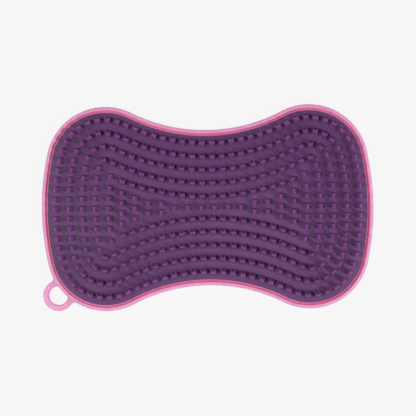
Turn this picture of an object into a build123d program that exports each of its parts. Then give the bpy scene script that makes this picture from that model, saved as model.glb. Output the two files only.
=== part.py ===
"""Two-colour flexible curry comb: a nubbed grooming face moulded onto a softer backing shell.

The comb lies on its back with the grooming face up, +Z up and its length along X. The origin is
the middle of the comb, on the surface that the short massage pips of the back stand on.
Everything is in millimetres.
"""

from build123d import *
import math
import os

# --- Outline of the comb, seen from above -----------------------------------------------------
COMB_LENGTH = 165.8
WAIST_WIDTH = 77.6
END_RADIUS = 128.4  # gentle bulge of the two short ends
CORNER_RADIUS = 29.7  # round of the four lobes
WAIST_RADIUS = 82.3  # hollow of the two long sides

# --- Rim: an outer bead, a narrow groove, and a thin lip round the grooming face ----------------
BEAD_WIDTH = 1.9
GROOVE_WIDTH = 0.65
LIP_WIDTH = 0.4
GROOVE_DEPTH = 1.4  # below the top of the lip
BEAD_OUTER_ROUND = 1.2
BEAD_INNER_ROUND = 0.5
BEAD_ABOVE_LIP = 0.5
LIP_ABOVE_FACE = 0.25
RIM_ABOVE_TABLE = 0.8  # the pips of the back carry the comb, so the rim hangs clear

# --- Layers, from the table up -----------------------------------------------------------------
PIP_HEIGHT = 2.2
BACK_THICKNESS = 2.0
FACE_THICKNESS = 1.8
NUB_HEIGHT = 6.0

# --- Grooming nubs: wedge teeth, long across their row and narrow along it -----------------------
NUB_BASE_LENGTH = 3.8
NUB_TIP_LENGTH = 1.1
NUB_BASE_WIDTH = 2.5
NUB_TIP_WIDTH = 2.3
NUB_ROOT = 0.5  # how far a nub runs down into the sheet that it is moulded with

# --- Layout of the nubs in rings that follow the edge ---------------------------------------------
FIRST_RING_INSET = 3.95  # from the edge of the grooming face to the outermost ring
RING_PITCH = 6.6
RING_COUNT = 5
OUTER_RING_COUNT = 2  # these rings have the closer nub pitch
OUTER_NUB_PITCH = 4.9
INNER_NUB_PITCH = 5.08
CORNER_KEEP_OUT = 3.8  # along a row that ends in a sharp corner, kept free for the corner's own nub
LEAST_COLUMN_PITCH = 4.2
COLUMN_TO_RING_GAP = 5.66

# --- Back: short round pips, and a plain oval seat in the middle ---------------------------------
PIP_BASE_RADIUS = 1.35
PIP_TIP_RADIUS = 0.85
OVAL_LENGTH = 50.0
OVAL_WIDTH = 26.0
OVAL_EDGE_ROUND = 0.6
OVAL_TO_PIP_GAP = 2.2

# --- Hanging eye at one corner ---------------------------------------------------------------------
EYE_OUTER_RADIUS = 7.7
EYE_HOLE_RADIUS = 4.7
EYE_STANDOFF = 2.9  # the eye's centre lies this far outside the corner's edge
EYE_ANGLE = 41.8  # direction from the corner's centre to the eye, off the comb's length
EYE_THICKNESS = 2.8
EYE_EDGE_ROUND = 0.7
EYE_NECK_ROUND = 2.4  # where the ring runs into the rim
EYE_HOLE_CORNER_ROUND = 0.9

# --- Worked out from the above ------------------------------------------------------------------
RIM_WIDTH = BEAD_WIDTH + GROOVE_WIDTH + LIP_WIDTH
BACK_BOTTOM_Z = PIP_HEIGHT
POCKET_Z = BACK_BOTTOM_Z + BACK_THICKNESS
FACE_Z = POCKET_Z + FACE_THICKNESS
LIP_Z = FACE_Z + LIP_ABOVE_FACE
RIM_TOP_Z = LIP_Z + BEAD_ABOVE_LIP
GROOVE_Z = LIP_Z - GROOVE_DEPTH
EYE_Z = (RIM_ABOVE_TABLE + RIM_TOP_Z - EYE_THICKNESS) / 2

SAME_PLACE = 1e-3  # two points closer than this are one


class Outline:
    """The comb's outline as tangent arcs, and the curves parallel to it further in."""

    def __init__(self, length, waist_width, end_radius, corner_radius, waist_radius):
        self.end_radius = end_radius
        self.corner_radius = corner_radius
        self.waist_radius = waist_radius
        self.end_x = length / 2 - end_radius
        self.waist_y = waist_width / 2 + waist_radius
        self.corner = self.meeting(end_radius - corner_radius, waist_radius + corner_radius)

    def meeting(self, from_end, from_waist):
        """The first-quadrant point at these distances from the centres of the end and waist arcs."""
        apart = math.hypot(self.end_x, self.waist_y)
        along = (from_end**2 - from_waist**2 + apart**2) / (2 * apart)
        across = math.sqrt(from_end**2 - along**2)
        unit_x, unit_y = -self.end_x / apart, self.waist_y / apart
        return (
            self.end_x + unit_x * along + unit_y * across,
            unit_y * along - unit_x * across,
        )

    def is_cornered(self, inset):
        """Whether the curve at this inset has lost its corner arcs and meets in sharp corners."""
        return inset >= self.corner_radius

    def spans(self, inset):
        """(radius, angle in radians) of the waist, corner and end arc in one quarter of the outline."""
        end = self.end_radius - inset
        waist = self.waist_radius + inset
        x, y = self.meeting(end, waist) if self.is_cornered(inset) else self.corner
        end_angle = math.atan2(y, x - self.end_x)
        waist_angle = math.atan2(x, self.waist_y - y)
        if self.is_cornered(inset):
            return (waist, waist_angle), (0.0, 0.0), (end, end_angle)
        corner_angle = math.pi / 2 + waist_angle - end_angle
        return (waist, waist_angle), (self.corner_radius - inset, corner_angle), (end, end_angle)

    def lengths(self, inset):
        """Arc lengths of the waist, corner and end arc in one quarter of the outline."""
        return [radius * angle for radius, angle in self.spans(inset)]

    def station(self, inset, distance):
        """Point and outward direction in radians, at a distance along one quarter from the waist."""
        (waist, waist_angle), (corner, corner_angle), (end, end_angle) = self.spans(inset)
        if distance <= waist * waist_angle:
            turned = distance / waist
            return (
                waist * math.sin(turned),
                self.waist_y - waist * math.cos(turned),
                math.pi / 2 + turned,
            )
        distance -= waist * waist_angle
        if distance <= corner * corner_angle:
            outwards = math.pi / 2 + waist_angle - distance / corner
            return (
                self.corner[0] + corner * math.cos(outwards),
                self.corner[1] + corner * math.sin(outwards),
                outwards,
            )
        distance -= corner * corner_angle
        outwards = end_angle - distance / end
        return self.end_x + end * math.cos(outwards), end * math.sin(outwards), outwards

    def face(self, inset):
        """Flat face inside the curve that runs parallel to the outline at this inset."""
        waist, corner, end = self.lengths(inset)
        in_hollow = self.station(inset, 0)
        waist_end = self.station(inset, waist)
        in_corner = self.station(inset, waist + corner / 2)
        end_start = self.station(inset, waist + corner)
        at_tip = self.station(inset, waist + corner + end)

        def flip(station, sign_x, sign_y):
            return sign_x * station[0], sign_y * station[1]

        edges = []
        for sign in (1, -1):
            to_end = flip(end_start, sign, -1), flip(at_tip, sign, 1), flip(end_start, sign, 1)
            to_waist = flip(waist_end, -1, sign), flip(in_hollow, 1, sign), flip(waist_end, 1, sign)
            edges += [ThreePointArc(*to_end), ThreePointArc(*to_waist)]
        for sign_x in (1, -1):
            for sign_y in (1, -1):
                points = [flip(station, sign_x, sign_y) for station in (waist_end, in_corner, end_start)]
                edges.append(ThreePointArc(*points))
        return make_face(edges)

    def loop(self, solid, inset, height):
        """The solid's edges that run along the curve at this inset, at this height."""
        centres = [edge.center() + Vector(0, 0, height) for edge in self.face(inset).edges()]
        return solid.edges().filter_by(
            lambda edge: any((edge.center() - centre).length < SAME_PLACE for centre in centres)
        )

    def slab(self, inset, bottom, top):
        """Solid between two heights, inside the curve at this inset."""
        return Pos(0, 0, bottom) * extrude(self.face(inset), top - bottom)


def mirrored(x, y, outwards):
    """A seat and its mirror images in the comb's two middle planes, without repeats."""
    images = {}
    for sign_x in (1, -1):
        for sign_y in (1, -1):
            key = (round(sign_x * x, 6) + 0.0, round(sign_y * y, 6) + 0.0)
            direction = math.atan2(sign_y * math.sin(outwards), sign_x * math.cos(outwards))
            images.setdefault(key, (key[0], key[1], direction))
    return list(images.values())


def ring_seats(outline, inset, pitch):
    """Seats evenly spaced round a whole ring, half a pitch off the waist and one on the comb's axis."""
    quarter = sum(outline.lengths(inset))
    steps = round(quarter / pitch - 0.5)
    even_pitch = quarter / (steps + 0.5)
    seats = []
    for step in range(steps + 1):
        seats += mirrored(*outline.station(inset, (step + 0.5) * even_pitch))
    return seats


def cornered_ring_seats(outline, inset, pitch):
    """Seats of a ring whose rows and end columns meet at a sharp corner, with one seat on the corner."""
    row, _, end = outline.lengths(inset)
    seats = []
    for step in range(int((row - CORNER_KEEP_OUT) / pitch + 0.5)):
        seats += mirrored(*outline.station(inset, (step + 0.5) * pitch))
    for step in range(int((end - CORNER_KEEP_OUT) / pitch) + 1):
        seats += mirrored(*outline.station(inset, row + end - step * pitch))
    return seats + mirrored(*outline.station(inset, row + SAME_PLACE))


def column_seats(outline, inset, pitch, x):
    """Seats of one short column that stands in the space inside the innermost ring."""
    row_radius = outline.waist_radius + inset
    half_height = outline.waist_y - math.sqrt(row_radius**2 - x**2) - COLUMN_TO_RING_GAP
    gaps = max(0, int(2 * half_height / LEAST_COLUMN_PITCH))
    step = min(pitch, 2 * half_height / gaps) if gaps else 0
    return [
        (sign * x, (index - gaps / 2) * step, math.pi / 2 * (1 - sign))
        for index in range(gaps + 1)
        for sign in (1, -1)
    ]


def nub_seats(outline):
    """(x, y, direction across the row in radians) of every nub on the grooming face."""
    seats = []
    for ring in range(RING_COUNT):
        inset = RIM_WIDTH + FIRST_RING_INSET + ring * RING_PITCH
        pitch = OUTER_NUB_PITCH if ring < OUTER_RING_COUNT else INNER_NUB_PITCH
        place = cornered_ring_seats if outline.is_cornered(inset) else ring_seats
        seats += place(outline, inset, pitch)
    x = COMB_LENGTH / 2 - inset - RING_PITCH
    while x > NUB_BASE_LENGTH / 2:
        seats += column_seats(outline, inset, INNER_NUB_PITCH, x)
        x -= RING_PITCH
    return seats


def tapered_nub():
    """One wedge nub on the origin, its root below Z0 and its long side along X."""
    slope_x = (NUB_BASE_LENGTH - NUB_TIP_LENGTH) / NUB_HEIGHT
    slope_y = (NUB_BASE_WIDTH - NUB_TIP_WIDTH) / NUB_HEIGHT
    root = Rectangle(NUB_BASE_LENGTH + slope_x * NUB_ROOT, NUB_BASE_WIDTH + slope_y * NUB_ROOT)
    tip = Rectangle(NUB_TIP_LENGTH, NUB_TIP_WIDTH)
    return loft([Pos(0, 0, -NUB_ROOT) * root, Pos(0, 0, NUB_HEIGHT) * tip], ruled=True)


def build_nub_pad(outline, seats):
    """Grooming face: a sheet that fills the shell's pocket, with every nub moulded on it."""
    sheet = outline.slab(RIM_WIDTH, POCKET_Z, FACE_Z)
    nub = tapered_nub()
    nubs = [
        Pos(x, y, FACE_Z) * Rot(0, 0, math.degrees(outwards)) * nub for x, y, outwards in seats
    ]
    return sheet.fuse(*nubs)


def build_eye(outline):
    """Hanging eye: a flat ring that blends into the rim, its hole flattened by the rim's edge.

    It is built on the corner on the +X, +Y side, then turned to the opposite one.
    """
    corner_x, corner_y = outline.corner
    standoff = outline.corner_radius + EYE_STANDOFF
    x = corner_x + standoff * math.cos(math.radians(EYE_ANGLE))
    y = corner_y + standoff * math.sin(math.radians(EYE_ANGLE))

    def off_ring(point):
        return math.hypot(point.X - x, point.Y - y) - EYE_OUTER_RADIUS

    def off_rim(point):
        return math.hypot(point.X - corner_x, point.Y - corner_y) - outline.corner_radius

    comb = outline.face(0)
    at_eye = Pos(x, y) * Rot(0, 0, EYE_ANGLE + 180)  # a circle's seam then lies inside the comb
    hole = at_eye * Circle(EYE_HOLE_RADIUS) - comb
    hole = fillet(hole.vertices(), EYE_HOLE_CORNER_ROUND)
    joined = comb + at_eye * Circle(EYE_OUTER_RADIUS)
    necks = joined.vertices().sort_by(lambda point: abs(off_ring(point)) + abs(off_rim(point)))[:2]
    joined = fillet(necks, EYE_NECK_ROUND)
    blend = 2 * EYE_NECK_ROUND
    plan = joined & (at_eye * Circle(EYE_OUTER_RADIUS + blend))
    plan = plan - hole - outline.face(BEAD_WIDTH / 2)
    eye = Pos(0, 0, EYE_Z) * extrude(plan, EYE_THICKNESS)

    def is_free(edge):
        middle = edge.center()
        is_level = abs(edge.tangent_at(0.5).Z) < SAME_PLACE
        return is_level and off_rim(middle) > -BEAD_WIDTH / 4 and off_ring(middle) < blend - SAME_PLACE

    eye = fillet(eye.edges().filter_by(is_free), EYE_EDGE_ROUND)
    return Rot(0, 0, 180) * eye


def build_rim_and_plate(outline):
    """Back plate with its rim: a round bead, a groove, and the lip that borders the pocket."""
    shell = outline.slab(0, RIM_ABOVE_TABLE, RIM_TOP_Z)
    shell -= outline.slab(BEAD_WIDTH, LIP_Z, RIM_TOP_Z)
    outer_edges = outline.loop(shell, 0, RIM_TOP_Z) + outline.loop(shell, 0, RIM_ABOVE_TABLE)
    shell = fillet(outer_edges, BEAD_OUTER_ROUND)
    groove = outline.slab(BEAD_WIDTH, GROOVE_Z, LIP_Z)
    shell -= groove - outline.slab(BEAD_WIDTH + GROOVE_WIDTH, GROOVE_Z, LIP_Z)
    shell = fillet(outline.loop(shell, BEAD_WIDTH, RIM_TOP_Z), BEAD_INNER_ROUND)
    shell -= outline.slab(RIM_WIDTH, POCKET_Z, LIP_Z)
    return shell - outline.slab(RIM_WIDTH, RIM_ABOVE_TABLE, BACK_BOTTOM_Z)


def build_pips(seats):
    """Massage pips of the back, one under each nub that stands clear of the oval seat."""
    pip = Pos(0, 0, PIP_HEIGHT / 2) * Cone(PIP_TIP_RADIUS, PIP_BASE_RADIUS, PIP_HEIGHT)
    clear_x = OVAL_LENGTH / 2 + OVAL_TO_PIP_GAP
    clear_y = OVAL_WIDTH / 2 + OVAL_TO_PIP_GAP
    return [Pos(x, y) * pip for x, y, _ in seats if math.hypot(x / clear_x, y / clear_y) > 1]


def build_back_shell(outline, seats):
    """Backing shell: plate, rim, pips, the plain oval seat that the comb rests on, and the eye."""
    oval = extrude(Ellipse(OVAL_LENGTH / 2, OVAL_WIDTH / 2), BACK_BOTTOM_Z)
    oval = fillet(oval.edges().sort_by(Axis.Z)[0], OVAL_EDGE_ROUND)
    return build_rim_and_plate(outline).fuse(oval, build_eye(outline), *build_pips(seats))


def main():
    """Builds both mouldings and writes each to its own STEP file."""
    outline = Outline(COMB_LENGTH, WAIST_WIDTH, END_RADIUS, CORNER_RADIUS, WAIST_RADIUS)
    seats = nub_seats(outline)
    print("nubs", len(seats))
    os.makedirs("parts", exist_ok=True)
    export_step(build_nub_pad(outline, seats), "parts/nub_pad.step")
    export_step(build_back_shell(outline, seats), "parts/back_shell.step")


if __name__ == "__main__":
    main()
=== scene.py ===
"""A flexible two-colour curry comb, lying on its back on a pale studio floor.

The comb is two mouldings bonded to each other: a purple grooming face whose wedge nubs stand in
rings that follow its edge, and a pink translucent backing with a beaded rim, a hanging eye and
short round massage pips. Everything is in metres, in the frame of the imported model.
"""

import logging
import math
from collections.abc import Iterable, Sequence
from dataclasses import dataclass
from enum import Enum
from typing import ClassVar

import bmesh
import bpy
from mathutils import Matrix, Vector


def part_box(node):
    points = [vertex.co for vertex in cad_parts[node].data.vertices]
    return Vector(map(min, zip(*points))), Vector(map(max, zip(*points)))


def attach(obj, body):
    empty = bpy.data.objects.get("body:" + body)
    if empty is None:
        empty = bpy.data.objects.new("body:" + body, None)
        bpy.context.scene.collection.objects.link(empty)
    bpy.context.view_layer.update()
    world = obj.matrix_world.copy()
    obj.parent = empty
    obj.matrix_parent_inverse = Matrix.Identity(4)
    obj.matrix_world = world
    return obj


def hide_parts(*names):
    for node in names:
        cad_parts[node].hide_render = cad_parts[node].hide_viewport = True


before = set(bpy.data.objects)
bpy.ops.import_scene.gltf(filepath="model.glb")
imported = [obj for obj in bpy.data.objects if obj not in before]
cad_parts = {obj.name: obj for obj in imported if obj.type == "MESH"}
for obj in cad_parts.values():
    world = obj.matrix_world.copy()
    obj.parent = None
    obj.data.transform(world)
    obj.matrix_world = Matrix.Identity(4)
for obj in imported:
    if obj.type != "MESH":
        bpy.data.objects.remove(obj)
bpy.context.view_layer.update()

MM = 0.001
BODY = "root"
# Name of the attribute that says how much painted crimson shade each point of the backing gets.
GROOVE_SHADE_ATTRIBUTE = "groove_depth"
TURN_ATTRIBUTE = "turn"
NUB_HEIGHT = 6.0 * MM  # above the face of the sheet
PLATE_BOTTOM = 2.20 * MM  # underside of the backing's plate
ROUND_MIDDLE = 0.3  # how far a round's middle point lies in from its corner, as a share of the radius
CLOUD_STOPS = (0.3, 0.7)  # noise values at which a material reaches its two shades
log = logging.getLogger("curry_comb")


class Slot(Enum):
    """The record's material slots."""

    GROOMING_FACE = "grooming_face"
    BACKING = "backing"


# --- Node-tree helpers -----------------------------------------------------------------------


def add_node(tree: bpy.types.NodeTree, kind: str, **settings: object) -> bpy.types.Node:
    """Adds a node to a tree.

    Args:
        tree: The shader or geometry tree.
        kind: The node's type identifier.
        **settings: Attributes to set on the node, such as operation or data_type.

    Returns:
        The new node.
    """
    node = tree.nodes.new(kind)
    for name, value in settings.items():
        setattr(node, name, value)
    return node


def set_inputs(node: bpy.types.Node, **values: object) -> bpy.types.Node:
    """Sets a node's sockets by name, with underscores for spaces.

    Args:
        node: The node whose input sockets are set.
        **values: A constant, or an output socket to link, for each named input.

    Returns:
        The same node.
    """
    for name, value in values.items():
        socket = next(s for s in node.inputs if s.enabled and s.name == name.replace("_", " "))
        if isinstance(value, bpy.types.NodeSocket):
            node.id_data.links.new(value, socket)
        else:
            socket.default_value = value
    return node


def new_geometry_tree(name: str, inputs: dict[str, str]) -> tuple[bpy.types.NodeTree, bpy.types.Node]:
    """Makes an empty Geometry Nodes tree.

    Args:
        name: The tree's name.
        inputs: Socket type of each named input, after the geometry itself.

    Returns:
        The tree and its group input node.
    """
    tree = bpy.data.node_groups.new(name, "GeometryNodeTree")
    tree.interface.new_socket("Geometry", in_out="INPUT", socket_type="NodeSocketGeometry")
    for label, socket_type in inputs.items():
        tree.interface.new_socket(label, in_out="INPUT", socket_type=socket_type)
    tree.interface.new_socket("Geometry", in_out="OUTPUT", socket_type="NodeSocketGeometry")
    return tree, add_node(tree, "NodeGroupInput")


def end_tree(tree: bpy.types.NodeTree, geometry: bpy.types.NodeSocket, finish: bpy.types.NodeSocket) -> None:
    """Ends a geometry tree in Realize Instances and Set Material.

    Args:
        tree: The tree to end.
        geometry: The geometry to hand on.
        finish: The group input's material socket.
    """
    realize = set_inputs(add_node(tree, "GeometryNodeRealizeInstances"), Geometry=geometry)
    dressed = add_node(tree, "GeometryNodeSetMaterial")
    set_inputs(dressed, Geometry=realize.outputs["Geometry"], Material=finish)
    tree.links.new(dressed.outputs["Geometry"], add_node(tree, "NodeGroupOutput").inputs[0])


def run_tree(
    name: str, source: bpy.types.Mesh, tree: bpy.types.NodeTree, inputs: dict[str, object]
) -> bpy.types.Object:
    """Runs a geometry tree on a mesh and keeps the result as a plain mesh object.

    Args:
        name: The finished piece's name.
        source: The mesh that the tree starts from.
        tree: The Geometry Nodes tree.
        inputs: A value for each of the tree's named inputs.

    Returns:
        An object at the origin that holds the plain result.
    """
    carrier = bpy.data.objects.new(name + "_source", source)
    bpy.context.scene.collection.objects.link(carrier)
    modifier = carrier.modifiers.new(tree.name, "NODES")
    modifier.node_group = tree
    sockets = {s.name: s.identifier for s in tree.interface.items_tree if s.in_out == "INPUT"}
    for label, value in inputs.items():
        modifier[sockets[label]] = value
    evaluated = carrier.evaluated_get(bpy.context.evaluated_depsgraph_get())
    mesh = bpy.data.meshes.new_from_object(evaluated)
    bpy.data.objects.remove(carrier)
    mesh.name = name
    piece = bpy.data.objects.new(name, mesh)
    bpy.context.scene.collection.objects.link(piece)
    return piece


# --- Plan geometry ---------------------------------------------------------------------------


@dataclass(frozen=True)
class Arc:
    """An arc of the outline, walked anticlockwise round the comb.

    A hollow arc bends inwards: its centre is outside the comb.
    """

    centre: tuple[float, float]
    radius: float
    start: float
    stop: float
    hollow: bool = False

    def samples(self, spacing: float) -> list[tuple[Vector, Vector]]:
        """Point and outward direction at even steps along the arc, without its last point.

        Args:
            spacing: Longest step along the arc.

        Returns:
            One pair of plan vectors for each step.
        """
        count = math.ceil(abs(self.stop - self.start) * self.radius / spacing)
        pairs = []
        for step in range(count):
            angle = self.start + (self.stop - self.start) * step / count
            ray = Vector((math.cos(angle), math.sin(angle)))
            pairs.append((Vector(self.centre) + self.radius * ray, -ray if self.hollow else ray))
        return pairs


@dataclass(frozen=True)
class Outline:
    """The comb's edge in plan: bulging ends, round lobes and a hollow on each long side."""

    half_length: float
    half_waist: float = 38.8 * MM
    end_radius: float = 128.4 * MM
    corner_radius: float = 29.7 * MM
    waist_radius: float = 82.3 * MM

    @property
    def end_x(self) -> float:
        """X of the right end arc's centre.

        Returns:
            The coordinate, which is negative because the end bulges only gently.
        """
        return self.half_length - self.end_radius

    @property
    def waist_y(self) -> float:
        """Y of the upper waist arc's centre.

        Returns:
            The coordinate.
        """
        return self.half_waist + self.waist_radius

    @property
    def corner(self) -> Vector:
        """Centre of the corner arc on the +X, +Y side, tangent to its two neighbours.

        Returns:
            The centre in plan.
        """
        from_end = self.end_radius - self.corner_radius
        from_waist = self.waist_radius + self.corner_radius
        towards = Vector((-self.end_x, self.waist_y))
        apart = towards.length
        along = (from_end**2 - from_waist**2 + apart**2) / (2 * apart)
        across = math.sqrt(from_end**2 - along**2)
        unit = towards / apart
        return Vector((self.end_x, 0)) + along * unit + across * Vector((unit.y, -unit.x))

    def arcs(self) -> list[Arc]:
        """The eight arcs of the edge, each tangent to the next.

        Returns:
            The arcs, anticlockwise from the start of the right end.
        """
        x, y = self.corner
        end = math.atan2(y, x - self.end_x)
        waist = math.atan2(x, self.waist_y - y)
        arcs = []
        for side in (1, -1):
            base = 0 if side > 0 else math.pi
            quarter = base + math.pi / 2
            arcs += [
                Arc((side * self.end_x, 0), self.end_radius, base - end, base + end),
                Arc((side * x, side * y), self.corner_radius, base + end, quarter + waist),
                Arc((0, side * self.waist_y), self.waist_radius, base + waist - math.pi / 2,
                    base - waist - math.pi / 2, hollow=True),
                Arc((-side * x, side * y), self.corner_radius, quarter - waist, base + math.pi - end),
            ]
        return arcs

    def samples(self, spacing: float) -> list[tuple[Vector, Vector]]:
        """Point and outward direction at even steps round the whole edge.

        Args:
            spacing: Longest step along the edge.

        Returns:
            Pairs of plan vectors, anticlockwise, without a repeat of the first.
        """
        return [pair for arc in self.arcs() for pair in arc.samples(spacing)]


@dataclass(frozen=True)
class Corner:
    """A corner of a cross-section: how far in from the edge, how high, and how round.

    Its shade share says how much painted crimson shade it gets, from 0 on the bead to 1 on the groove's
    floor.
    """

    inset: float
    height: float
    radius: float = 0.0
    depth: float = 0.0


def rounded_section(corners: Sequence[Corner], steps: int = 4) -> list[tuple[float, float, float]]:
    """Turns a cross-section's corners into points, with an arc at each round corner.

    Args:
        corners: The corners in order.
        Inset, height and painted-shade share of each point.

    Returns:
        Inset, height and groove depth of each point.
    """
    points = []
    for index, corner in enumerate(corners):
        here = Vector((corner.inset, corner.height))
        if corner.radius == 0 or index in (0, len(corners) - 1):
            points.append((here.x, here.y, corner.depth))
            continue
        before, after = corners[index - 1], corners[index + 1]
        back = (Vector((before.inset, before.height)) - here).normalized()
        ahead = (Vector((after.inset, after.height)) - here).normalized()
        half = back.angle(ahead) / 2
        reach = corner.radius / math.tan(half)
        centre = here + (back + ahead).normalized() * corner.radius / math.sin(half)
        first, last = here + back * reach - centre, here + ahead * reach - centre
        for step in range(steps + 1):
            ray = first.normalized().slerp(last.normalized(), step / steps) * corner.radius
            points.append(((centre + ray).x, (centre + ray).y, corner.depth))
    return points


def open_chain(name: str, points: Iterable[Sequence[float]], closed: bool = False) -> bpy.types.Mesh:
    """Makes a mesh of vertices joined in a row by edges.

    Args:
        name: The mesh's name.
        points: Its points, in order.
        closed: Whether the last point joins the first.

    Returns:
        The mesh.
    """
    points = [tuple(point) for point in points]
    edges = [(i, i + 1) for i in range(len(points) - 1)]
    if closed:
        edges.append((len(points) - 1, 0))
    mesh = bpy.data.meshes.new(name)
    mesh.from_pydata(points, edges, [])
    return mesh


def make_sweep_tree() -> bpy.types.NodeTree:
    """Builds the tree that sweeps a cross-section round the comb's edge.

    The section's X runs outwards from the edge and its Y upwards.

    Returns:
        The Geometry Nodes tree.
    """
    tree, start = new_geometry_tree(
        "Sweep round edge", {"Section": "NodeSocketObject", "Finish": "NodeSocketMaterial"}
    )
    path = set_inputs(add_node(tree, "GeometryNodeMeshToCurve"), Mesh=start.outputs["Geometry"])
    upright = add_node(tree, "GeometryNodeSetCurveNormal", mode="Z_UP")
    set_inputs(upright, Curve=path.outputs["Curve"])
    section = set_inputs(add_node(tree, "GeometryNodeObjectInfo"), Object=start.outputs["Section"])
    profile = add_node(tree, "GeometryNodeMeshToCurve")
    set_inputs(profile, Mesh=section.outputs["Geometry"])
    flipped = add_node(tree, "GeometryNodeTransform")
    set_inputs(flipped, Geometry=profile.outputs["Curve"], Scale=(1, -1, 1))
    swept = add_node(tree, "GeometryNodeCurveToMesh")
    set_inputs(swept, Curve=upright.outputs["Curve"], Profile_Curve=flipped.outputs["Geometry"])
    end_tree(tree, swept.outputs["Mesh"], start.outputs["Finish"])
    return tree


def make_planting_tree() -> bpy.types.NodeTree:
    """Builds the tree that plants one tooth on every seat, each leaning a little its own way.

    Returns:
        The Geometry Nodes tree.
    """
    tree, start = new_geometry_tree(
        "Plant teeth",
        {
            "Tooth": "NodeSocketObject",
            "Lean": "NodeSocketFloat",
            "Size Spread": "NodeSocketFloat",
            "Seed": "NodeSocketInt",
            "Finish": "NodeSocketMaterial",
        },
    )
    tooth = set_inputs(add_node(tree, "GeometryNodeObjectInfo"), Object=start.outputs["Tooth"])
    turn = add_node(tree, "GeometryNodeInputNamedAttribute", data_type="FLOAT")
    set_inputs(turn, Name=TURN_ATTRIBUTE)
    least = add_node(tree, "ShaderNodeMath", operation="MULTIPLY")
    tree.links.new(start.outputs["Lean"], least.inputs[0])
    least.inputs[1].default_value = -1
    leans = []
    for offset in range(2):
        seed = add_node(tree, "ShaderNodeMath", operation="ADD")
        tree.links.new(start.outputs["Seed"], seed.inputs[0])
        seed.inputs[1].default_value = offset
        lean = add_node(tree, "FunctionNodeRandomValue", data_type="FLOAT")
        set_inputs(lean, Min=least.outputs[0], Max=start.outputs["Lean"], Seed=seed.outputs[0])
        leans.append(next(s for s in lean.outputs if s.enabled))
    rotation = add_node(tree, "ShaderNodeCombineXYZ")
    set_inputs(rotation, X=leans[0], Y=leans[1], Z=turn.outputs["Attribute"])
    smallest = add_node(tree, "ShaderNodeMath", operation="SUBTRACT")
    smallest.inputs[0].default_value = 1
    tree.links.new(start.outputs["Size Spread"], smallest.inputs[1])
    size = add_node(tree, "FunctionNodeRandomValue", data_type="FLOAT")
    set_inputs(size, Min=smallest.outputs[0], Max=1.0, Seed=start.outputs["Seed"])
    planted = add_node(tree, "GeometryNodeInstanceOnPoints")
    set_inputs(
        planted,
        Points=start.outputs["Geometry"],
        Instance=tooth.outputs["Geometry"],
        Rotation=rotation.outputs["Vector"],
        Scale=next(s for s in size.outputs if s.enabled),
    )
    end_tree(tree, planted.outputs["Instances"], start.outputs["Finish"])
    return tree


# --- Finishes --------------------------------------------------------------------------------


def start_material(name: str) -> tuple[bpy.types.Material, bpy.types.Node]:
    """Makes an empty node material that ends in a Principled shader.

    Args:
        name: The material's name.

    Returns:
        The material and its shader node.
    """
    material = bpy.data.materials.new(name)
    material.use_nodes = True
    material.node_tree.nodes.clear()
    shader = add_node(material.node_tree, "ShaderNodeBsdfPrincipled")
    output = add_node(material.node_tree, "ShaderNodeOutputMaterial")
    set_inputs(output, Surface=shader.outputs["BSDF"])
    return material, shader


def add_noise(tree: bpy.types.NodeTree, feature: float, detail: float = 3.0) -> bpy.types.NodeSocket:
    """Adds a noise on Object coordinates.

    Args:
        tree: The material's tree.
        feature: Rough size of the noise's features, in metres.
        detail: Octaves of the noise.

    Returns:
        The noise's value.
    """
    place = add_node(tree, "ShaderNodeTexCoord")
    noise = add_node(tree, "ShaderNodeTexNoise")
    set_inputs(noise, Vector=place.outputs["Object"], Scale=1 / feature, Detail=detail, Roughness=0.55)
    return noise.outputs["Fac"]


def add_ramp(
    tree: bpy.types.NodeTree, value: bpy.types.NodeSocket, stops: Sequence[tuple[float, Sequence[float]]]
) -> bpy.types.NodeSocket:
    """Adds a colour ramp.

    Args:
        tree: The material's tree.
        value: The ramp's input.
        stops: Place and colour of each stop, in order.

    Returns:
        The ramp's colour.
    """
    ramp = set_inputs(add_node(tree, "ShaderNodeValToRGB"), Fac=value)
    elements = ramp.color_ramp.elements
    while len(elements) < len(stops):
        elements.new(0.5)
    for element, (place, colour) in zip(elements, stops):
        element.position = place
        element.color = (*colour, 1)
    return ramp.outputs["Color"]


def add_grain(tree: bpy.types.NodeTree, feature: float, height: float) -> bpy.types.NodeSocket:
    """Adds the fine satin grain of a moulded surface, as a bump.

    Args:
        tree: The material's tree.
        feature: Rough size of the grain, in metres.
        height: Height of the grain, in metres.

    Returns:
        The bumped normal.
    """
    bump = add_node(tree, "ShaderNodeBump")
    set_inputs(bump, Strength=1.0, Distance=height, Height=add_noise(tree, feature))
    return bump.outputs["Normal"]


@dataclass(frozen=True)
class PurpleSilicone:
    """Firm satin silicone of the grooming face, slightly cloudy."""

    name: str
    deep: tuple[float, float, float]
    pale: tuple[float, float, float]
    scatter: float = 0.0
    scatter_reach: float = 0.5 * MM
    roughness: float = 0.55
    sheen: float = 0.1
    sheen_roughness: float = 0.5
    sheen_tint: tuple[float, float, float] = (0.85, 0.6, 0.95)
    refraction: float = 1.38
    scatter_tint: tuple[float, float, float] = (1.0, 0.25, 0.9)
    grain_size: float = 0.35 * MM
    grain_height: float = 0.012 * MM
    cloud_size: float = 7 * MM

    def build(self) -> bpy.types.Material:
        """Builds the material.

        Returns:
            The material.
        """
        material, shader = start_material(self.name)
        tree = material.node_tree
        cloud = add_noise(tree, self.cloud_size, detail=2.0)
        set_inputs(
            shader,
            Base_Color=add_ramp(tree, cloud, list(zip(CLOUD_STOPS, (self.deep, self.pale)))),
            Roughness=self.roughness,
            Sheen_Weight=self.sheen,
            Sheen_Roughness=self.sheen_roughness,
            Sheen_Tint=(*self.sheen_tint, 1),
            IOR=self.refraction,
            Subsurface_Weight=self.scatter,
            Subsurface_Radius=self.scatter_tint,
            Subsurface_Scale=self.scatter_reach,
            Normal=add_grain(tree, self.grain_size, self.grain_height),
        )
        return material


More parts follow.
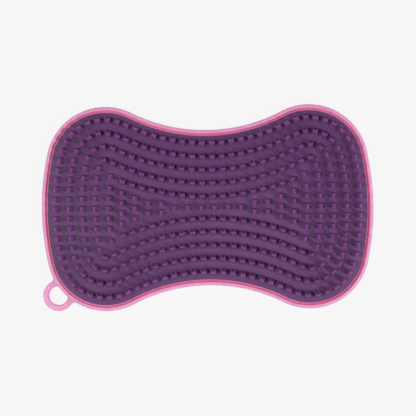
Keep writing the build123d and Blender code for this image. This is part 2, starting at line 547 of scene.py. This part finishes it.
@dataclass(frozen=True)
class PinkSilicone:
    """Soft translucent silicone of the backing, painted crimson in its groove as painted shade, for the
    darker, redder light that has passed through more of the silicone there.
    """

    open_colour: tuple[float, float, float] = (0.86, 0.38, 0.62)
    # Painted shade: the crimson that the groove gets in place of its real shade.
    groove_shade_colour: tuple[float, float, float] = (0.85, 0.20, 0.42)
    cloud_shade: float = 0.93
    scatter: float = 0.5
    scatter_reach: float = 2.2 * MM
    scatter_tint: tuple[float, float, float] = (1.0, 0.35, 0.5)
    roughness: float = 0.38
    refraction: float = 1.41
    grain_size: float = 0.4 * MM
    grain_height: float = 0.008 * MM
    cloud_size: float = 9 * MM

    def build(self) -> bpy.types.Material:
        """Builds the material.

        Returns:
            The material.
        """
        material, shader = start_material("pink_silicone")
        tree = material.node_tree
        depth = set_inputs(add_node(tree, "ShaderNodeAttribute", attribute_name=GROOVE_SHADE_ATTRIBUTE))
        dull = tuple(self.cloud_shade * part for part in self.open_colour)
        noise = add_noise(tree, self.cloud_size, detail=2.0)
        cloud = add_ramp(tree, noise, list(zip(CLOUD_STOPS, (dull, self.open_colour))))
        # Mixes in the painted groove shade by each point's share.
        colour = add_node(tree, "ShaderNodeMix", data_type="RGBA")
        set_inputs(colour, Factor=depth.outputs["Fac"], A=cloud, B=(*self.groove_shade_colour, 1))
        set_inputs(
            shader,
            Base_Color=next(s for s in colour.outputs if s.enabled),
            Roughness=self.roughness,
            IOR=self.refraction,
            Subsurface_Weight=self.scatter,
            Subsurface_Radius=self.scatter_tint,
            Subsurface_Scale=self.scatter_reach,
            Normal=add_grain(tree, self.grain_size, self.grain_height),
        )
        return material


@dataclass(frozen=True)
class FloorPaint:
    """Even, softly glowing white of the studio floor."""

    glow: float = 0.892
    colour: tuple[float, float, float] = (0.035, 0.035, 0.035)

    def build(self) -> bpy.types.Material:
        """Builds the material.

        Returns:
            The material.
        """
        material, shader = start_material("floor_white")
        set_inputs(
            shader,
            Base_Color=(*self.colour, 1),
            Roughness=1.0,
            Specular_IOR_Level=0.0,
            Emission_Color=(1, 1, 1, 1),
            Emission_Strength=self.glow,
        )
        return material


# --- Mesh helpers ----------------------------------------------------------------------------


def join_rows(built: bmesh.types.BMesh, rows: Sequence[Sequence[bmesh.types.BMVert]]) -> None:
    """Joins closed rows of equal length with four-sided faces.

    Args:
        built: The shape that holds the rows.
        rows: The rows, from one end of the wall to the other.
    """
    count = len(rows[0])
    for lower, upper in zip(rows, rows[1:]):
        for i in range(count):
            j = (i + 1) % count
            built.faces.new((lower[i], lower[j], upper[j], upper[i]))


def stacked_mesh(name: str, rings: Sequence[Sequence[Vector]], tip: Vector | None = None) -> bpy.types.Mesh:
    """Makes a closed mesh from rings of equal length, one above another.

    Args:
        name: The mesh's name.
        rings: The rings, each anticlockwise seen from outside the last one.
        tip: A point in the middle of the last ring, for a fan; without it the end is one face.

    Returns:
        The mesh, smooth shaded.
    """
    built = bmesh.new()
    rows = [[built.verts.new(point) for point in ring] for ring in rings]
    join_rows(built, rows)
    built.faces.new(list(reversed(rows[0])))
    if tip is None:
        built.faces.new(rows[-1])
    else:
        middle = built.verts.new(tip)
        last = rows[-1]
        for near, far in zip(last, last[1:] + last[:1]):
            built.faces.new((near, far, middle))
    return finished_mesh(name, built)


def finished_mesh(name: str, built: bmesh.types.BMesh, crease: float = 40) -> bpy.types.Mesh:
    """Turns every face outwards and shades the mesh smooth, with sharp creases.

    Args:
        name: The mesh's name.
        built: The shape, which is freed.
        crease: Angle in degrees above which an edge stays sharp.

    Returns:
        The mesh.
    """
    bmesh.ops.recalc_face_normals(built, faces=built.faces)
    mesh = bpy.data.meshes.new(name)
    built.to_mesh(mesh)
    built.free()
    mesh.shade_smooth()
    mesh.set_sharp_from_angle(angle=math.radians(crease))
    return mesh


def helper_object(mesh: bpy.types.Mesh) -> bpy.types.Object:
    """Makes an unlinked object that a geometry tree can read.

    Args:
        mesh: The object's mesh.

    Returns:
        The object.
    """
    return bpy.data.objects.new(mesh.name, mesh)


def add_piece(mesh: bpy.types.Mesh, finish: bpy.types.Material) -> bpy.types.Object:
    """Links a mesh as a dressed piece at the origin.

    Args:
        mesh: The piece's mesh.
        finish: Its material.

    Returns:
        The piece.
    """
    mesh.materials.clear()
    mesh.materials.append(finish)
    piece = bpy.data.objects.new(mesh.name, mesh)
    bpy.context.scene.collection.objects.link(piece)
    return piece


def register(piece: bpy.types.Object, slot: Slot, *nodes: str) -> None:
    """Hands a finished piece to the frame and reports it.

    Args:
        piece: The piece.
        slot: A slot for its finish in the record; not used.
        *nodes: CAD nodes that the piece stands for.
    """
    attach(piece, BODY)
    if nodes:
        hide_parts(*nodes)
    log.info("%s: %d faces", piece.name, len(piece.data.polygons))


# --- Grooming face ---------------------------------------------------------------------------


@dataclass(frozen=True)
class Seat:
    """Place of one nub, and the direction across its row."""

    TIP_SLACK: ClassVar[float] = 0.01 * MM  # triangles this close to the top belong to a tip
    SAME_PLACE_DIGITS: ClassVar[int] = 5  # decimals, in metres, that tell two seats apart

    x: float
    y: float
    turn: float


def find_seats(node: str) -> list[Seat]:
    """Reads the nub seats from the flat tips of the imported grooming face.

    Each tip is two triangles. The longest side of both is the tip's diagonal, and the shortest
    lies across the row.

    Args:
        node: The CAD node that carries the nubs.

    Returns:
        The seats, in a fixed order.
    """
    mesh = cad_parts[node].data
    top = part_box(node)[1].z - Seat.TIP_SLACK
    seats = {}
    for polygon in mesh.polygons:
        points = [mesh.vertices[i].co for i in polygon.vertices]
        if min(point.z for point in points) < top:
            continue
        sides = [(b - a, (a + b) / 2) for a, b in zip(points, points[1:] + points[:1])]
        sides.sort(key=lambda side: side[0].length)
        across, middle = sides[0][0], sides[-1][1]
        key = (round(middle.x, Seat.SAME_PLACE_DIGITS), round(middle.y, Seat.SAME_PLACE_DIGITS))
        seats.setdefault(key, Seat(middle.x, middle.y, math.atan2(across.y, across.x)))
    return [seats[key] for key in sorted(seats)]


def seat_mesh(name: str, seats: Sequence[Seat], height: float) -> bpy.types.Mesh:
    """Makes a mesh with one loose vertex for each seat, turned by an attribute.

    Args:
        name: The mesh's name.
        seats: The seats.
        height: Their height.

    Returns:
        The mesh.
    """
    mesh = bpy.data.meshes.new(name)
    mesh.from_pydata([(seat.x, seat.y, height) for seat in seats], [], [])
    turns = mesh.attributes.new(TURN_ATTRIBUTE, "FLOAT", "POINT")
    turns.data.foreach_set("value", [seat.turn for seat in seats])
    return mesh


@dataclass(frozen=True)
class NubRing:
    """One level of a nub: its height, its size across and along the row, and how deep its flutes are."""

    SHOULDER_DEPTH: ClassVar[float] = 0.8  # the flute's depth at its shoulder, as a share of its middle
    SHOULDER_PLACE: ClassVar[float] = 0.42  # where the shoulder lies, from the nub's middle to its side
    FLUTE_END: ClassVar[float] = 0.72  # where the flute runs out, measured the same way

    height: float
    across: float
    along: float
    corner: float
    flute: float = 0.0

    def points(self) -> list[Vector]:
        """Twenty points of a rounded rectangle, with a flute down the middle of both long slopes.

        Returns:
            The points, anticlockwise from the middle of the flute on the +X side.
        """
        half_x, half_y = self.across / 2, self.along / 2
        cut = ROUND_MIDDLE * self.corner
        quarter = [
            (half_x - self.flute, 0),
            (half_x - self.SHOULDER_DEPTH * self.flute, self.SHOULDER_PLACE * half_y),
            (half_x, self.FLUTE_END * half_y),
            (half_x - cut, half_y - cut),
            (half_x - self.corner, half_y),
            (0, half_y),
        ]
        upper = quarter + [(-x, y) for x, y in reversed(quarter[:-1])]
        lower = [(x, -y) for x, y in reversed(upper[1:-1])]
        return [Vector((x, y, self.height)) for x, y in upper + lower]


@dataclass(frozen=True)
class GroomingFace:
    """The purple grooming face: a sheet in the backing's pocket, and the nubs moulded on it."""

    outline: Outline
    bottom: float
    top: float
    # The sheet and the nubs are one purple silicone. The sheet's copy is painted darker, as painted shade
    # between the nubs, and the nubs' copy is painted lighter, as painted light on the nubs.
    shaded_sheet_finish: PurpleSilicone = PurpleSilicone(
        "purple_sheet", (0.122, 0.044, 0.146), (0.140, 0.051, 0.168)
    )
    lit_nub_finish: PurpleSilicone = PurpleSilicone(
        "purple_nubs", (0.190, 0.050, 0.215), (0.215, 0.058, 0.240), scatter=0.5
    )
    inset: float = 2.95 * MM
    edge_round: float = 0.15 * MM
    spacing: float = 1.0 * MM
    lean: float = math.radians(1.6)
    size_spread: float = 0.02
    seed: int = 7
    rings: tuple[NubRing, ...] = (
        NubRing(-0.25 * MM, 4.30 * MM, 3.10 * MM, 0.60 * MM, 0.25 * MM),
        NubRing(0.22 * MM, 3.80 * MM, 2.76 * MM, 0.50 * MM, 0.42 * MM),
        NubRing(5.62 * MM, 1.36 * MM, 2.50 * MM, 0.30 * MM, 0.20 * MM),
        NubRing(5.93 * MM, 1.02 * MM, 2.24 * MM, 0.25 * MM, 0.16 * MM),
    )
    dish: float = 0.10 * MM

    def nub(self) -> bpy.types.Mesh:
        """Makes the one nub that is planted on every seat.

        Returns:
            The nub's mesh, with the sheet's face at height 0.
        """
        tip = Vector((0, 0, self.rings[-1].height - self.dish))
        return stacked_mesh("nub", [ring.points() for ring in self.rings], tip)

    def sheet(self) -> bpy.types.Mesh:
        """Makes the sheet, with a small round along its visible edge.

        Returns:
            The sheet's mesh.
        """
        samples = self.outline.samples(self.spacing)
        cut = ROUND_MIDDLE * self.edge_round
        levels = [
            (self.inset, self.bottom),
            (self.inset, self.top - self.edge_round),
            (self.inset + cut, self.top - cut),
            (self.inset + self.edge_round, self.top),
        ]
        rings = [
            [(point - outwards * inset).to_3d() + Vector((0, 0, height)) for point, outwards in samples]
            for inset, height in levels
        ]
        return stacked_mesh("grooming_sheet", rings)

    def build(self, seats: Sequence[Seat], planting: bpy.types.NodeTree) -> None:
        """Builds and hands over the sheet and its nubs.

        Args:
            seats: One seat for each nub.
            planting: The tree that plants teeth.
        """
        register(add_piece(self.sheet(), self.shaded_sheet_finish.build()), Slot.GROOMING_FACE, "nub_pad")
        nubs = run_tree(
            "grooming_nubs",
            seat_mesh("nub_seats", seats, self.top),
            planting,
            {
                "Tooth": helper_object(self.nub()),
                "Lean": self.lean,
                "Size Spread": self.size_spread,
                "Seed": self.seed,
                "Finish": self.lit_nub_finish.build(),
            },
        )
        register(nubs, Slot.GROOMING_FACE)


# --- Backing ---------------------------------------------------------------------------------


@dataclass(frozen=True)
class Rim:
    """The backing's plate and edge: a round bead, a groove, and the lip round the pocket."""

    outline: Outline
    bead_top: float
    lip_top: float = 6.25 * MM
    groove_floor: float = 4.90 * MM
    pocket_floor: float = 4.20 * MM
    bottom: float = 0.80 * MM
    width: float = 2.95 * MM
    lip_width: float = 0.18 * MM
    bead_width: float = 1.70 * MM
    groove_span: tuple[float, float] = (2.02 * MM, 2.52 * MM)
    lip_round: float = 0.07 * MM
    groove_round: float = 0.18 * MM
    bead_round: float = 0.40 * MM
    edge_round: float = 1.15 * MM
    under_round: float = 0.35 * MM
    spacing: float = 0.8 * MM

    def section(self) -> bpy.types.Mesh:
        """Makes the rim's cross-section, from the pocket's floor over the bead to the plate's underside.

        Returns:
            The section as a row of points, each with its groove depth.
        """
        groove_outer, groove_inner = self.groove_span
        # Each corner's share, the last argument, paints crimson groove shade: full on the groove's floor,
        # over half on the pocket floor under the sheet, a little on the lip and the bead's inner side.
        corners = [
            Corner(self.width, self.pocket_floor, depth=0.6),
            Corner(self.width, self.lip_top, self.lip_round, depth=0.1),
            Corner(self.width - self.lip_width, self.lip_top, self.lip_round, depth=0.1),
            Corner(groove_inner, self.groove_floor, self.groove_round, depth=1.0),
            Corner(groove_outer, self.groove_floor, self.groove_round, depth=1.0),
            Corner(self.bead_width, self.bead_top, self.bead_round, depth=0.12),
            Corner(0, self.bead_top, self.edge_round),
            Corner(0, self.bottom, self.edge_round),
            Corner(self.width, self.bottom, self.under_round),
            Corner(self.width, PLATE_BOTTOM),
        ]
        points = rounded_section(corners)
        mesh = open_chain("rim_section", [(-inset, height, 0) for inset, height, _ in points])
        shade_shares = mesh.attributes.new(GROOVE_SHADE_ATTRIBUTE, "FLOAT", "POINT")
        shade_shares.data.foreach_set("value", [depth for _, _, depth in points])
        return mesh

    def build(self, sweep: bpy.types.NodeTree, finish: bpy.types.Material) -> bpy.types.Object:
        """Sweeps the section round the edge, then closes the pocket's floor and the plate's underside.

        Args:
            sweep: The tree that sweeps a section.
            finish: The backing's material.

        Returns:
            The shell.
        """
        edge = [point.to_3d() for point, _ in self.outline.samples(self.spacing)]
        shell = run_tree(
            "back_shell_rim",
            open_chain("comb_edge", edge, closed=True),
            sweep,
            {"Section": helper_object(self.section()), "Finish": finish},
        )
        built = bmesh.new()
        built.from_mesh(shell.data)
        open_edges = [side for side in built.edges if side.is_boundary]
        bmesh.ops.holes_fill(built, edges=open_edges, sides=0)
        materials = list(shell.data.materials)
        shell.data = finished_mesh("back_shell_rim", built, crease=32)
        for material in materials:
            shell.data.materials.append(material)
        return shell


@dataclass(frozen=True)
class OvalSeat:
    """The plain oval in the middle of the back, which the comb rests on."""

    length: float = 50 * MM
    width: float = 26 * MM
    edge_round: float = 0.6 * MM
    round_steps: int = 4
    sunk: float = 0.4 * MM
    root_flare: float = 0.2 * MM
    sunk_flare: float = 0.3 * MM
    clear_of_pips: float = 2.2 * MM
    steps: int = 96

    def is_clear(self, seat: Seat) -> bool:
        """Whether a pip at this seat stands clear of the oval.

        Args:
            seat: The seat.

        Returns:
            True where there is room for the pip.
        """
        reach_x = self.length / 2 + self.clear_of_pips
        reach_y = self.width / 2 + self.clear_of_pips
        return math.hypot(seat.x / reach_x, seat.y / reach_y) > 1

    def ring(self, inset: float, height: float) -> list[Vector]:
        """One level of the oval.

        Args:
            inset: Distance in from the oval's edge.
            height: The level's height.

        Returns:
            The ring's points.
        """
        half_x, half_y = self.length / 2 - inset, self.width / 2 - inset
        angles = [math.tau * step / self.steps for step in range(self.steps)]
        return [Vector((half_x * math.cos(a), half_y * math.sin(a), height)) for a in angles]

    def build(self, finish: bpy.types.Material) -> bpy.types.Object:
        """Builds the oval.

        Args:
            finish: The backing's material.

        Returns:
            The oval seat.
        """
        rings = [
            self.ring(-self.sunk_flare, PLATE_BOTTOM + self.sunk),
            self.ring(-self.root_flare, PLATE_BOTTOM),
            self.ring(0, PLATE_BOTTOM - self.root_flare),
        ]
        for step in range(self.round_steps + 1):
            angle = math.pi / 2 * step / self.round_steps
            inset = self.edge_round * (1 - math.cos(angle))
            rings.append(self.ring(inset, self.edge_round * (1 - math.sin(angle))))
        return add_piece(stacked_mesh("back_oval_seat", rings), finish)


@dataclass(frozen=True)
class Pips:
    """The short round massage pips of the back."""

    base_radius: float = 1.35 * MM
    tip_radius: float = 0.85 * MM
    tip_round: float = 0.30 * MM
    round_start: float = 0.06 * MM
    round_middle: tuple[float, float] = (0.12 * MM, 0.07 * MM)
    root_flare: float = 0.25 * MM
    sunk: float = 0.30 * MM
    sides: int = 12
    seed: int = 11

    def pip(self) -> bpy.types.Mesh:
        """Makes one pip, pointing down from the plate.

        Returns:
            The pip's mesh, with the plate's underside at height 0.
        """
        cut_in, cut_up = self.round_middle
        levels = [
            (self.base_radius + self.root_flare, self.sunk),
            (self.base_radius, -self.root_flare),
            (self.tip_radius + self.round_start, self.tip_round - PLATE_BOTTOM),
            (self.tip_radius - cut_in, cut_up - PLATE_BOTTOM),
            (self.tip_radius - self.tip_round, -PLATE_BOTTOM),
        ]
        turns = [math.tau * side / self.sides for side in range(self.sides)]
        rings = [
            [Vector((radius * math.cos(a), radius * math.sin(a), z)) for a in turns] for radius, z in levels
        ]
        return stacked_mesh("pip", rings)

    def build(
        self, seats: Sequence[Seat], planting: bpy.types.NodeTree, finish: bpy.types.Material
    ) -> bpy.types.Object:
        """Plants a pip at each seat.

        Args:
            seats: The pips' seats.
            planting: The tree that plants teeth.
            finish: The backing's material.

        Returns:
            All pips as one piece.
        """
        return run_tree(
            "back_pips",
            seat_mesh("pip_seats", seats, PLATE_BOTTOM),
            planting,
            {
                "Tooth": helper_object(self.pip()),
                "Lean": 0.0,
                "Size Spread": 0.0,
                "Seed": self.seed,
                "Finish": finish,
            },
        )


@dataclass(frozen=True)
class HangingEye:
    """The flat ring at one corner, which runs into the rim with round necks.

    It is laid out with the corner's centre at the origin and the eye's own centre on +X.
    """

    corner: Vector
    corner_radius: float
    bead_top: float
    bottom: float = 2.375 * MM
    top: float = 5.175 * MM
    direction: float = math.radians(221.8)
    outer_radius: float = 7.7 * MM
    hole_radius: float = 4.7 * MM
    standoff: float = 2.9 * MM
    neck_round: float = 2.4 * MM
    hole_corner_round: float = 0.9 * MM
    edge_round: float = 0.8 * MM
    foot: float = 0.95 * MM
    climb: float = 3.2 * MM
    climb_overlap: float = 0.5 * MM
    below_bead: float = 0.06 * MM
    ring_steps: int = 44
    blend_steps: int = 8
    round_steps: int = 5

    def fillet_centre(self, from_corner: float, from_eye: float) -> Vector:
        """Centre of a fillet on the +Y side.

        Args:
            from_corner: Its distance from the corner's centre.
            from_eye: Its distance from the eye's centre.

        Returns:
            The centre in plan.
        """
        apart = self.corner_radius + self.standoff
        x = (from_corner**2 - from_eye**2 + apart**2) / (2 * apart)
        return Vector((x, math.sqrt(from_corner**2 - x**2)))

    def chain(self, ring_radius: float, blend_centre: Vector, blend_radius: float) -> list[Vector]:
        """One side of the eye in plan: foot, blend, ring, blend and foot.

        Args:
            ring_radius: Radius about the eye's centre.
            blend_centre: Centre of the blend into the rim, on the +Y side.
            blend_radius: Radius of that blend.

        Returns:
            The points from the foot on the -Y side to the foot on the +Y side.
        """
        eye = Vector((self.corner_radius + self.standoff, 0))
        to_ring = blend_centre - eye
        far = math.atan2(to_ring.y, to_ring.x)
        to_rim = -blend_centre
        first = math.atan2(to_rim.y, to_rim.x) % math.tau
        outside = (blend_centre - eye).length > ring_radius
        last = (far + math.pi if outside else far) % math.tau
        upper = []
        for step in range(self.blend_steps + 1):
            angle = last + (first - last) * step / self.blend_steps
            upper.append(blend_centre + blend_radius * Vector((math.cos(angle), math.sin(angle))))
        upper.append(blend_centre.normalized() * (self.corner_radius - self.foot))
        arc = []
        for step in range(1, self.ring_steps):
            angle = far * (2 * step / self.ring_steps - 1)
            arc.append(eye + ring_radius * Vector((math.cos(angle), math.sin(angle))))
        lower = [Vector((point.x, -point.y)) for point in reversed(upper)]
        return lower + arc + upper

    def lift(self, point: Vector) -> float:
        """How much higher the eye's top is beside the rim, so that it runs into the bead.

        Args:
            point: A point of the plan.

        Returns:
            The rise above the eye's flat top.
        """
        share = (point.length - self.corner_radius + self.climb_overlap) / self.climb
        share = min(1.0, max(0.0, share))
        return (self.bead_top - self.top - self.below_bead) * (1 - share * share * (3 - 2 * share))

    def level(self, inset: float, rise: float) -> list[Vector]:
        """A closed loop round the eye at one level.

        Args:
            inset: How far the loop lies inside the eye's edge.
            rise: Height as a share, from 0 at the bottom to 1 at the top.

        Returns:
            The loop's points, first the outer side and then the hole's.
        """
        neck = self.fillet_centre(self.corner_radius + self.neck_round, self.outer_radius + self.neck_round)
        hole = self.fillet_centre(
            self.corner_radius + self.hole_corner_round, self.hole_radius - self.hole_corner_round
        )
        outer = self.chain(self.outer_radius - inset, neck, self.neck_round + inset)
        inner = self.chain(self.hole_radius + inset, hole, self.hole_corner_round + inset)
        turned = []
        for point in outer + list(reversed(inner)):
            top = self.top + self.lift(point)
            turned.append(point.to_3d() + Vector((0, 0, self.bottom + (top - self.bottom) * rise)))
        return turned

    def build(self, finish: bpy.types.Material) -> bpy.types.Object:
        """Builds the eye.

        Args:
            finish: The backing's material.

        Returns:
            The eye, in its place on the comb.
        """
        thickness = self.top - self.bottom
        levels = []
        for step in range(self.round_steps + 1):
            angle = math.pi / 2 * step / self.round_steps
            inset = self.edge_round * (1 - math.sin(angle))
            levels.append((inset, self.edge_round * (1 - math.cos(angle)) / thickness))
        levels += [(inset, 1 - rise) for inset, rise in reversed(levels)]
        built = bmesh.new()
        rows = [[built.verts.new(point) for point in self.level(*level)] for level in levels]
        join_rows(built, rows)
        count = len(rows[0])
        for row in (rows[0], rows[-1]):
            for i in range(count // 2 - 1):
                built.faces.new((row[i], row[i + 1], row[count - 2 - i], row[count - 1 - i]))
        mesh = finished_mesh("hanging_eye", built)
        cosine, sine = math.cos(self.direction), math.sin(self.direction)
        for vertex in mesh.vertices:
            x, y, z = vertex.co
            vertex.co = (x * cosine - y * sine - self.corner.x, x * sine + y * cosine - self.corner.y, z)
        return add_piece(mesh, finish)


@dataclass(frozen=True)
class BackShell:
    """The pink backing: rim and plate, oval seat, pips and hanging eye."""

    rim: Rim
    oval: OvalSeat
    pips: Pips
    eye: HangingEye

    def build(
        self,
        seats: Sequence[Seat],
        sweep: bpy.types.NodeTree,
        planting: bpy.types.NodeTree,
        finish: bpy.types.Material,
    ) -> None:
        """Builds and hands over the backing's pieces.

        Args:
            seats: The nub seats, which the pips stand under.
            sweep: The tree that sweeps a section.
            planting: The tree that plants teeth.
            finish: The backing's material.
        """
        register(self.rim.build(sweep, finish), Slot.BACKING, "back_shell")
        register(self.oval.build(finish), Slot.BACKING)
        clear = [seat for seat in seats if self.oval.is_clear(seat)]
        register(self.pips.build(clear, planting, finish), Slot.BACKING)
        register(self.eye.build(finish), Slot.BACKING)


# --- Studio ----------------------------------------------------------------------------------


@dataclass(frozen=True)
class SoftLight:
    """A square soft box that points at the comb."""

    name: str
    place: tuple[float, float, float]
    size: float
    power: float

    def build(self) -> None:
        """Builds the light."""
        lamp = bpy.data.lights.new(self.name, "AREA")
        lamp.shape = "SQUARE"
        lamp.size = self.size
        lamp.energy = self.power
        holder = bpy.data.objects.new(self.name, lamp)
        holder.location = self.place
        holder.rotation_euler = (-Vector(self.place)).to_track_quat("-Z", "Y").to_euler()
        bpy.context.scene.collection.objects.link(holder)


@dataclass(frozen=True)
class Studio:
    """Pale floor, soft lights, and a camera that looks straight down on the comb."""

    lights: tuple[SoftLight, ...] = (
        SoftLight("key_soft_box", (-0.330, -0.120, 1.045), 0.10, 3.5),
        SoftLight("front_soft_box", (0.620, -0.380, 0.800), 0.32, 4.7),
        SoftLight("left_fill", (-0.779, 0.000, 0.764), 0.50, 3.3),
        SoftLight("right_fill", (0.971, 0.260, 0.447), 0.50, 2.0),
    )
    ambient: float = 0.15
    camera_place: tuple[float, float, float] = (0.17 * MM, -0.18 * MM, 805.5 * MM)
    camera_roll: float = math.radians(-0.767)
    focal_length: float = 138.5
    sensor_width: float = 36.0
    clip_start: float = 0.01
    floor_size: float = 3.0
    floor_steps: int = 4
    floor_drop: float = 0.02 * MM

    def build(self) -> None:
        """Builds the floor, the lights, the camera and the colour management."""
        built = bmesh.new()
        bmesh.ops.create_grid(built, x_segments=self.floor_steps, y_segments=self.floor_steps,
                              size=self.floor_size / 2)
        mesh = bpy.data.meshes.new("studio_floor")
        built.to_mesh(mesh)
        built.free()
        floor = add_piece(mesh, FloorPaint().build())
        floor.location.z = -self.floor_drop
        for light in self.lights:
            light.build()
        world = bpy.data.worlds.new("studio_air")
        world.use_nodes = True
        set_inputs(world.node_tree.nodes["Background"], Color=(1, 1, 1, 1), Strength=self.ambient)
        bpy.context.scene.world = world
        self.build_camera()
        bpy.context.scene.view_settings.view_transform = "Standard"

    def build_camera(self) -> None:
        """Builds the camera above the comb."""
        camera = bpy.data.cameras.new("camera")
        camera.lens = self.focal_length
        camera.sensor_width = self.sensor_width
        camera.clip_start = self.clip_start
        holder = bpy.data.objects.new("camera", camera)
        holder.location = self.camera_place
        holder.rotation_euler = (0, 0, self.camera_roll)
        bpy.context.scene.collection.objects.link(holder)
        bpy.context.scene.camera = holder


def main() -> None:
    """Builds the comb and its studio, and reports each piece."""
    logging.basicConfig(level=logging.INFO)
    shell_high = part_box("back_shell")[1]
    pad_low, pad_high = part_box("nub_pad")
    outline = Outline(half_length=shell_high.x)
    pink = PinkSilicone().build()
    sweep = make_sweep_tree()
    planting = make_planting_tree()
    seats = find_seats("nub_pad")
    log.info("nub seats: %d", len(seats))
    GroomingFace(outline, bottom=pad_low.z, top=pad_high.z - NUB_HEIGHT).build(seats, planting)
    BackShell(
        rim=Rim(outline, bead_top=shell_high.z),
        oval=OvalSeat(),
        pips=Pips(),
        eye=HangingEye(outline.corner, outline.corner_radius, bead_top=shell_high.z),
    ).build(seats, sweep, planting, pink)
    Studio().build()


if __name__ == "__main__":
    main()
